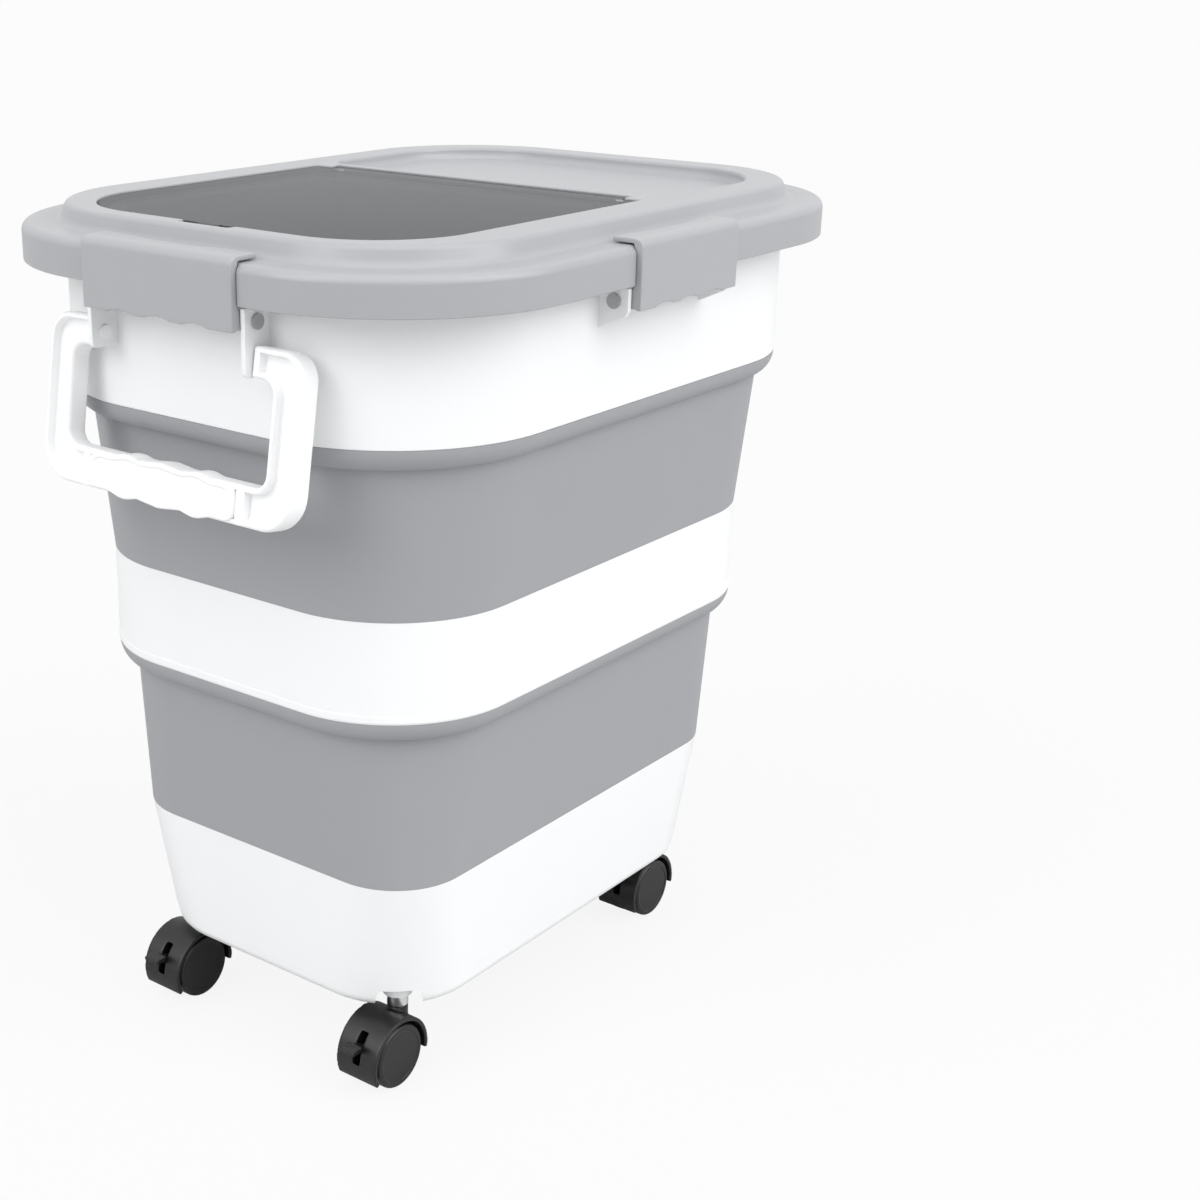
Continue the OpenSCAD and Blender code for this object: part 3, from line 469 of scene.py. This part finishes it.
# ---------- Lid ----------
# One grey polypropylene moulding: a skirt with a rounded upper edge, a ledge, a soft S-shaped riser and the
# raised deck, into which the door's seat, its window, the tray and the finger slot are cut with rounded lips.
lid_grey = moulded("grey_polypropylene", (0.385, 0.39, 0.405), 0.38, 0.05, 0.015)
top_z, skirt_z = lid_high.z, lid_low.z
lid_r = 109 * mm
lid_centre = (half_l - lid_r, half_w - lid_r)
ledge_z = top_z - 10.5 * mm
seat_z = top_z - 4.6 * mm
lid_section = rounded([
    (33 * mm, top_z, 0), (25.2 * mm, top_z, 4 * mm), (21.2 * mm, ledge_z, 6 * mm), (0, ledge_z, 5 * mm),
    (0, skirt_z, 0.7 * mm), (2.5 * mm, skirt_z, 0.7 * mm), (2.5 * mm, ledge_z - 3 * mm, 2 * mm),
    (24 * mm, ledge_z - 3 * mm, 2 * mm), (28 * mm, top_z - 3 * mm, 2 * mm), (33 * mm, top_z - 3 * mm, 0),
], 6)
lid = solid("lid", carried_round(lid_section, lid_centre, closed=False, corner_steps=32))


def outline(corners, grow=0.0, steps=8):
    """The rounded outline of anticlockwise corners, moved outwards by grow."""
    moved = []
    count = len(corners)
    for i, (x, y, radius) in enumerate(corners):
        here = Vector((x, y))
        arrive = (here - Vector(corners[i - 1][:2])).normalized()
        leave = (Vector(corners[(i + 1) % count][:2]) - here).normalized()
        out_1, out_2 = Vector((arrive.y, -arrive.x)), Vector((leave.y, -leave.x))
        place = here + grow * (out_1 + out_2) / (1 + out_1.dot(out_2))
        turned = arrive.x * leave.y - arrive.y * leave.x
        moved.append((place.x, place.y, max(radius + grow * math.copysign(1, turned), 0.05 * mm)))
    return rounded(moved, steps)


def stack(corners, levels, steps=8):
    """The solid that follows a rounded outline through (grow, height) levels."""
    return lofted([[(x, y, z) for x, y in outline(corners, grow, steps)] for grow, z in levels])


def flared_lip(z, radius, steps=4):
    """Levels of a cutter that leaves a rounded lip where it comes out of a face at height z."""
    turns = [quarter_turn * k / steps for k in range(steps + 1)]
    lip = [(radius * (1 - math.cos(t)), z - radius * (1 - math.sin(t))) for t in turns]
    return lip + [(radius, z + 4 * mm)]


rear_x, lug_y, hinge_z = 34 * mm, 112 * mm, seat_z + 1.5 * mm
seat_corners = mm_corners((-195, -127, 62), (38, -127, 8), (38, 127, 8), (-195, 127, 62))
tray_corners = mm_corners((45, -127, 14), (183, -127, 60), (183, 127, 60), (45, 127, 14))
rebate_corners = mm_corners(
    (-192, -124, 59), (29, -124, 1.2), (29, -112, 1.2), (35, -112, 1.2), (35, 112, 1.2), (29, 112, 1.2),
    (29, 124, 1.2), (-192, 124, 59), (-192, 19, 1.2), (-197.5, 19, 2), (-197.5, -19, 2), (-192, -19, 1.2),
)
window_corners = mm_corners((-176, -108, 43), (19, -108, 8), (19, 108, 8), (-176, 108, 43))
tray_z = top_z - 7 * mm
tray_low = tray_z - wall
inside_top = top_z - 1.5 * mm
beam_corners = mm_corners((28, -125, 0.5), (50, -125, 0.5), (50, 125, 0.5), (28, 125, 0.5))
sides = {
    "front": Matrix.Translation((-half_l, 0, 0)) @ Matrix.Rotation(quarter_turn, 4, "Z"),
    "back": Matrix.Translation((half_l, 0, 0)) @ Matrix.Rotation(-quarter_turn, 4, "Z"),
    "right": Matrix.Translation((-5 * mm, -half_w, 0)) @ Matrix.Rotation(math.pi, 4, "Z"),
    "left": Matrix.Translation((-5 * mm, half_w, 0)),
}
latch_w = {"front": 110 * mm, "back": 110 * mm, "right": 98 * mm, "left": 98 * mm}


def block(place, x, y, z):
    """A plain block between pairs of local coordinates."""
    return slab([(x[0], y[0]), (x[1], y[0]), (x[1], y[1]), (x[0], y[1])], z[0], z[1], place)


pocket_wall, pocket_play = 4 * mm, 0.6 * mm
carve(lid, [
    stack(seat_corners, [(0, seat_z - wall), (0, inside_top)]),
    stack(beam_corners, [(0, tray_low + 0.3 * mm), (0, inside_top)]),
    stack(tray_corners, [(wall, tray_low), (wall, inside_top)]),
] + [
    block(sides[s], (-latch_w[s] / 2 - pocket_wall, latch_w[s] / 2 + pocket_wall), (-5.5 * mm, -1.2 * mm),
          (skirt_z + 0.4 * mm, ledge_z - 1.5 * mm))
    for s in sides
], "UNION")
fillet = 4.5 * mm
tray_levels = [
    (-fillet * (1 - math.sin(t)), tray_z + fillet * (1 - math.cos(t)))
    for t in [quarter_turn * k / 5 for k in range(6)]
]
hinge_mm, top_mm, clear_mm = hinge_z / mm, top_z / mm, 510
groove = rounded(mm_corners(
    (31, clear_mm, 0), (31, hinge_mm - 3, 2.9), (37, hinge_mm - 3, 2.9), (37, hinge_mm, 0), (38.2, hinge_mm, 0),
    (38.2, top_mm - 0.6, 0), (38.5, top_mm - 0.15, 0), (39, top_mm, 0), (39, clear_mm, 0),
), 6)
carve(lid, [
    stack(tray_corners, tray_levels + flared_lip(top_z, 2 * mm), 12),
    stack(window_corners, [(0, seat_z - 12 * mm)] + flared_lip(seat_z, 0.8 * mm), 12),
    stack(rebate_corners, [(0, seat_z)] + flared_lip(top_z, 0.9 * mm), 12),
    slab(groove, -lug_y, lug_y, upright),
] + [
    block(sides[s], (-latch_w[s] / 2 - pocket_play, latch_w[s] / 2 + pocket_play), (-2.5 * mm, 20 * mm),
          (skirt_z - 1 * mm, ledge_z + 20 * mm))
    for s in sides
])
dress(lid, lid_grey, "rim", ["lid_frame"], 32)

# ---------- Flip door ----------
# A clear, smoked panel with polished edges and a hinge barrel along its rear edge; light passes through it, so
# the seat ring and the inside of the bin show. The snap tongue stands in the finger slot.
smoke = bpy.data.materials.new("smoked_clear_plastic")
smoke.use_nodes = True
s_nodes, s_link = smoke.node_tree.nodes, smoke.node_tree.links.new
s_shader = s_nodes["Principled BSDF"]
s_shader.inputs["Base Color"].default_value = (0.020, 0.030, 0.034, 1)
s_shader.inputs["Alpha"].default_value = 0.6
s_shader.inputs["Specular IOR Level"].default_value = 0.05
s_place = s_nodes.new("ShaderNodeTexCoord")
s_cloud = s_nodes.new("ShaderNodeTexNoise")
s_cloud.inputs["Scale"].default_value = 6
s_rough = s_nodes.new("ShaderNodeMapRange")
s_rough.inputs["To Min"].default_value = 0.08
s_rough.inputs["To Max"].default_value = 0.16
s_link(s_place.outputs["Object"], s_cloud.inputs["Vector"])
s_link(s_cloud.outputs[0], s_rough.inputs["Value"])
s_link(s_rough.outputs[0], s_shader.inputs["Roughness"])

door_low, door_high = seat_z + 0.8 * mm, seat_z + 3.8 * mm
panel_corners = mm_corners(
    (-191, -123, 58), (28, -123, 1.5), (28, -111.6, 1), (33.2, -111.6, 0.8), (33.2, 111.6, 0.8), (28, 111.6, 1),
    (28, 123, 1.5), (-191, 123, 58),
)


def convex_edge(z, radius, way, steps=4):
    """Levels of an outer edge at height z that rounds off towards it: way is 1 for a top edge, -1 below."""
    turns = [quarter_turn * k / steps for k in range(steps + 1)]
    levels = [(-radius * (1 - math.cos(t)), z - way * radius * (1 - math.sin(t))) for t in turns]
    return levels if way > 0 else levels[::-1]


door = solid("door_panel", stack(
    panel_corners, convex_edge(door_low, 0.5 * mm, -1, 3) + convex_edge(door_high, 0.7 * mm, 1), 14
))
barrel_r, barrel_half = 2.4 * mm, lug_y - 0.4 * mm
barrel_round = [(rear_x + barrel_r * math.cos(t), hinge_z + barrel_r * math.sin(t))
                for t in [2 * math.pi * k / 32 for k in range(32)]]
carve(door, [slab(barrel_round, -barrel_half, barrel_half, upright)], "UNION")
dress(door, smoke, "door", ["flip_door"])
tongue_corners = mm_corners((-195.4, -8, 1.4), (-190.8, -8, 0.2), (-190.8, 8, 0.2), (-195.4, 8, 1.4))
tongue = slab(rounded(tongue_corners, 4), seat_z + 0.4 * mm, door_high + 0.3 * mm, Matrix(), 0.4 * mm)
dress(solid("door_tongue", tongue), smoke, "door", ["door_catch"])

# ---------- Ears ----------
# Eight white lugs of the upper ring, in pairs beside each latch; on the ends they reach lower and carry the
# handle too. They are part of the ring's moulding and have softened edges.
turn_section = Matrix(((0, 0, 1, 0), (1, 0, 0, 0), (0, 1, 0, 0), (0, 0, 0, 1)))
ear_t, ear_face = 3 * mm, -2 * mm
root, ear_top = -ring_in - 2.5 * mm, skirt_z - 0.8 * mm
end_low, side_low = skirt_z - 36.8 * mm, skirt_z - 16.3 * mm
end_ear = [
    (root, ear_top, 0), (root, end_low, 0), (ear_face, end_low, 3.5 * mm), (ear_face, ear_top, 0.8 * mm),
]
side_ear = [
    (root, ear_top, 0), (root, side_low - 9 * mm, 0), (ear_face - 2 * mm, side_low, 2 * mm),
    (ear_face, side_low + 3 * mm, 1.5 * mm), (ear_face, ear_top, 0.8 * mm),
]
ears = []
for s, place in sides.items():
    ear = rounded(end_ear if s in ("front", "back") else side_ear)
    start = latch_w[s] / 2 + 0.4 * mm
    for x in (start, -start - ear_t):
        ears.append(slab(ear, x, x + ear_t, place @ turn_section, 0.5 * mm))
dress(solid("ears", joined(ears)), white, "rim")

# ---------- Latches ----------
# Four grey levers, moulded in the lid's plastic and hooked over its ledge. The modelled solid is remeshed finely
# and relaxed, which rounds every edge as a moulding's: the bend, the cheeks and the finger waves.
latch_grey = moulded("grey_latch", (0.395, 0.40, 0.415), 0.34, 0.05, 0.015)


def softened(name, node, grid, passes):
    """The solid of a CAD node remeshed on a fine grid and relaxed, so that its edges come out rounded."""
    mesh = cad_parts[node].data.copy()
    mesh.name = name
    piece = bpy.data.objects.new(name, mesh)
    bpy.context.scene.collection.objects.link(piece)
    bm = bmesh.new()
    bm.from_mesh(mesh)
    bmesh.ops.remove_doubles(bm, verts=bm.verts, dist=weld)
    bm.to_mesh(mesh)
    bm.free()
    remesh = piece.modifiers.new("grid", "REMESH")
    remesh.mode = "VOXEL"
    remesh.voxel_size = grid
    relax = piece.modifiers.new("relax", "SMOOTH")
    relax.factor = 0.5
    relax.iterations = passes
    bake(piece)
    return piece


for s in sides:
    lever = softened("latch_lever_" + s, "latch_" + s, 0.6 * mm, 7)
    dress(lever, latch_grey, "latch_" + s, ["latch_" + s], 180)

# ---------- Handles ----------
# Two white bails: a flat frame with raised rims round a recessed web, hanging from the ears, and a thicker grip
# whose upper and lower edges wave under the fingers.
handle_white = moulded("white_handle", (0.95, 0.955, 0.96), 0.34, 0.05, 0.01)
flat_out = Matrix(((1, 0, 0, 0), (0, 0, 1, 0), (0, 1, 0, 0), (0, 0, 0, 1)))


def bail_corners(stub):
    """The outline of the bail, whose open ends reach in to stub beside the latch."""
    return mm_corners(
        (-94, -84.8, 21), (94, -84.8, 21), (94, 8.2, 15), (stub, 8.2, 1.5), (stub, -8.2, 1.5), (74, -8.2, 8),
        (74, -63.3, 8), (-74, -63.3, 8), (-74, -8.2, 8), (-stub, -8.2, 1.5), (-stub, 8.2, 1.5), (-94, 8.2, 15),
    )


bail_levels = (
    (58.8, -2, -8.3), (58.8, -1.2, -8.15), (58.8, -0.5, -7.6), (58.8, -0.1, -6.8), (58.8, 0, -5.8),
    (58.8, 0, -4.5), (58.8, 0, -3), (58.8, 0, -1.5), (58.8, 0, 2.4), (58.8, -0.3, 3.5), (58.8, -0.9, 4.3),
    (58.8, -1.6, 4.7), (58.9, -2.4, 4.7), (59.6, -2.9, 4.5), (60.2, -3.15, 4), (60.4, -3.3, 3),
    (60.4, -3.6, 0.8), (60.4, -4.1, -0.05), (60.4, -5, -0.3),
)
turn_r = 9 * mm
pivot_in, pivot_drop, rest_lean = 11 * mm, 28.8 * mm, math.radians(9)
bar_mid = -74.05 * mm
grip_half_l, grip_half_h, wave_deep, wave_pitch = 55, 12.25, 1.1, 27
grip_levels = (
    (3.8, 5), (3.3, 5.1), (2.7, 5.8), (2.3, 6), (1.1, 6), (0.5, 5.8), (0, 5.1), (0, -6.2), (0.4, -8),
    (1.4, -9.7), (3, -10.8), (5, -11.5),
)


def grip_loop(inset, depth, count=192):
    """One loop of the grip at a depth: a soft-cornered bar whose long edges wave."""
    loop = []
    for k in range(count):
        c, s = math.cos(2 * math.pi * k / count), math.sin(2 * math.pi * k / count)
        x = math.copysign(abs(c) ** 0.35, c) * grip_half_l
        half_h = grip_half_h - wave_deep + wave_deep * math.cos(x * 2 * math.pi / wave_pitch)
        z = math.copysign(abs(s) ** 0.5, s) * half_h
        loop.append((
            x * (1 - inset / grip_half_l) * mm, z * (1 - inset / grip_half_h) * mm + bar_mid, depth * mm
        ))
    return loop


for s in ("front", "back"):
    pivot_at = sides[s] @ Matrix.Translation((0, -pivot_in, skirt_z - pivot_drop))
    hang = pivot_at @ Matrix.Rotation(rest_lean, 4, "X")
    bail = lofted([
        [(x, y, depth * mm) for x, y in outline(bail_corners(stub), grow * mm, 10)]
        for stub, grow, depth in bail_levels
    ])
    for v in bail.verts:
        reach = math.hypot(v.co.y, v.co.z)
        if v.co.y > 0 > v.co.z and reach > turn_r:
            v.co.yz *= turn_r / reach
    ends = []
    for x in (-61, 55):
        end_block = mm_corners((x, -84.2, 1.5), (x + 6, -84.2, 1.5), (x + 6, -63.9, 1.5), (x, -63.9, 1.5))
        ends.append(slab(rounded(end_block, 4), -7 * mm, 4.55 * mm, Matrix(), 0.5 * mm))
    whole = joined([bail] + ends)
    bmesh.ops.transform(whole, matrix=flat_out, verts=whole.verts)
    bmesh.ops.transform(whole, matrix=hang, verts=whole.verts)
    dress(solid("bail_" + s, whole), handle_white, "handle_" + s, ["handle_frame_" + s], 40)
    grip = lofted([grip_loop(*level) for level in grip_levels])
    bmesh.ops.transform(grip, matrix=hang @ flat_out, verts=grip.verts)
    dress(solid("grip_" + s, grip), handle_white, "handle_" + s, ["handle_grip_" + s], 40)

# ---------- Casters ----------
# Black nylon twin-wheel casters: a hood that wraps the wheels, a ribbed brake pedal in its slot, and two free
# wheels with rounded tyres, on a bright steel stem with a collar.
black = moulded("black_nylon", (0.008, 0.008, 0.008), 0.36, 0.08, 0.05, 0.42)
steel = bpy.data.materials.new("plated_steel")
steel.use_nodes = True
m_nodes, m_link = steel.node_tree.nodes, steel.node_tree.links.new
m_shader = m_nodes["Principled BSDF"]
m_shader.inputs["Base Color"].default_value = (0.72, 0.72, 0.73, 1)
m_shader.inputs["Metallic"].default_value = 1.0
m_place = m_nodes.new("ShaderNodeTexCoord")
m_cloud = m_nodes.new("ShaderNodeTexNoise")
m_cloud.inputs["Scale"].default_value = 300
m_rough = m_nodes.new("ShaderNodeMapRange")
m_rough.inputs["To Min"].default_value = 0.15
m_rough.inputs["To Max"].default_value = 0.3
m_link(m_place.outputs["Object"], m_cloud.inputs["Vector"])
m_link(m_cloud.outputs[0], m_rough.inputs["Value"])
m_link(m_rough.outputs[0], m_shader.inputs["Roughness"])

stem_profile = mm_corners(
    (0, 35), (3.6, 35), (4, 35.4), (4, 45.3), (6.1, 45.3), (6.4, 45.6), (6.4, 52.5), (5.9, 53), (4, 53),
    (4, 84.5), (0, 84.5),
)
wheel_profile = mm_corners(
    (2.55, 4.4), (18.4, 4.4), (19.3, 4.7), (19.85, 5.4), (20, 6.3), (20, 12.2), (19.8, 13.1), (19.3, 13.8),
    (18.5, 14.25), (17.6, 14.4), (16.6, 14.4), (16.2, 14.2), (15.9, 14), (0, 14),
)
pedal_profile = mm_corners(
    (-32.8, 12.7), (-32.3, 12.2), (-24.8, 12.2), (-24.8, 14.8), (-25.4, 14.8), (-25.6, 15.2), (-26.6, 15.2),
    (-26.8, 14.8), (-27.6, 14.8), (-27.8, 15.2), (-28.8, 15.2), (-29, 14.8), (-29.8, 14.8), (-30, 15.2),
    (-31, 15.2), (-31.2, 14.8), (-32.2, 14.8), (-32.8, 14.3),
)
arm_outline = mm_corners((-17.4, -2.5), (0, -2.5), (0, 2.5), (-17.4, 2.5))
arm_half, pad_half, lever_up = 2.3 * mm, 5.5 * mm, math.radians(26)
axle_trail, axle_z, lever_pivot = 14 * mm, 20 * mm, 12 * mm
for name, spot in casters.items():
    at = Matrix.Translation((spot.x, spot.y, 0))
    dress(solid("stem_" + name, turned(stem_profile, at)), steel, "base", ["caster_stem_" + name], 30)
    hood = softened("hood_" + name, "caster_body_" + name, 0.55 * mm, 6)
    dress(hood, black, "caster_" + name, ["caster_body_" + name], 180)
    axle_at = at @ Matrix.Translation((-axle_trail, 0, axle_z))
    for side, way in (("right", 1), ("left", -1)):
        wheel = "wheel_" + name + "_" + side
        tyre = turned(wheel_profile, axle_at @ Matrix.Rotation(way * quarter_turn, 4, "X"), 96)
        dress(solid(wheel + "_looks", tyre), black, wheel, [wheel], 30)
    on_axle = axle_at @ upright
    pivot = on_axle @ Matrix.Rotation(-lever_up, 4, "Z") @ Matrix.Translation((-lever_pivot, 0, 0))
    arm = slab(arm_outline, -arm_half, arm_half, pivot, 0.4 * mm)
    pad = slab(pedal_profile, -pad_half, pad_half, on_axle, 0.15 * mm)
    pedal = solid("pedal_" + name, joined([arm, pad]))
    dress(pedal, black, "brake_" + name, ["brake_lever_" + name], 40)

# ---------- Pins and seals ----------
# Small pieces that keep their modelled solid: the lid's seal is grey rubber and the door's is pale silicone, the
# latch pins match the latches, the handle pins the handles, and the hinge pins and axles are steel.
pale_seal = moulded("pale_silicone", (0.66, 0.68, 0.70), 0.5, 0.02, 0.01, 0.35)
own_finish = {"lid_seal": band_grey, "door_seal": pale_seal, "door_hinge_pins": steel}
own_finish.update({"latch_pin_" + s: latch_grey for s in sides})
own_finish.update({"handle_pins_" + s: handle_white for s in ("front", "back")})
own_finish.update({"caster_axle_" + name: steel for name in casters})
for node, material in own_finish.items():
    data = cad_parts[node].data
    data.materials.clear()
    data.materials.append(material)
